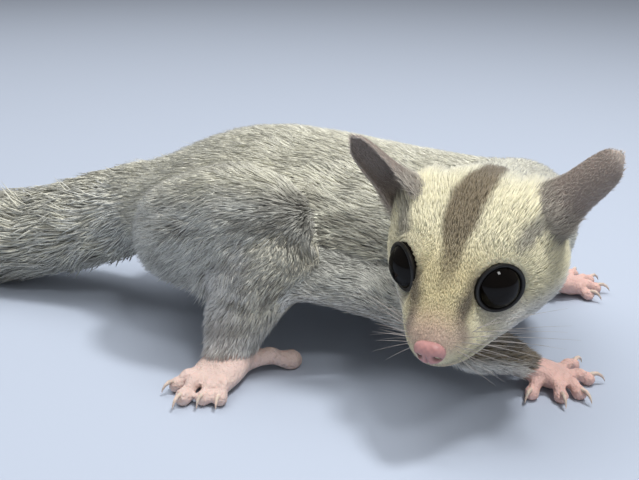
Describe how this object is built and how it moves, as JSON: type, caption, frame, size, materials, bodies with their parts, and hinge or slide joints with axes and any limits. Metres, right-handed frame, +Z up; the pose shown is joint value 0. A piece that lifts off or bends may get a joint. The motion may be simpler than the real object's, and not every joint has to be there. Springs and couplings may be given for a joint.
{
  "type": "sugar glider",
  "caption": "Life-size still model of a sugar glider standing low on four feet, head turned to its right, bushy tail laid out behind.",
  "frame": {"origin": "middle of the whole stance, tail and ears included, on the floor the animal stands on", "axes": "+X the way the body faces, +Y to the animal's left, +Z up"},
  "size_m": [0.2738, 0.1275, 0.0532],
  "materials": {
    "fur_cream": "soft short cream fur, lying back along the body",
    "fur_grey": "soft cream-grey fur with a salt-and-pepper grain, long and loose on the tail",
    "ear_skin": "thin matt taupe skin with a pale rim",
    "bare_skin": "bare wrinkled pink skin, slightly moist sheen",
    "eye": "wet glossy black"
  },
  "bodies": {
    "root": {"torso": "fur_cream", "neck": "fur_cream", "head": "fur_cream", "eye_left": "eye", "ear_left": "ear_skin", "arm_left": "fur_grey", "hand_left": "bare_skin", "thigh_left": "fur_grey", "shin_left": "fur_grey", "foot_left": "bare_skin", "membrane_left": "fur_cream", "eye_right": "eye", "ear_right": "ear_skin", "arm_right": "fur_grey", "hand_right": "bare_skin", "thigh_right": "fur_grey", "shin_right": "fur_grey", "foot_right": "bare_skin", "membrane_right": "fur_cream", "tail_1": "fur_grey", "tail_2": "fur_grey", "tail_3": "fur_grey"}
  },
  "joints": []
}
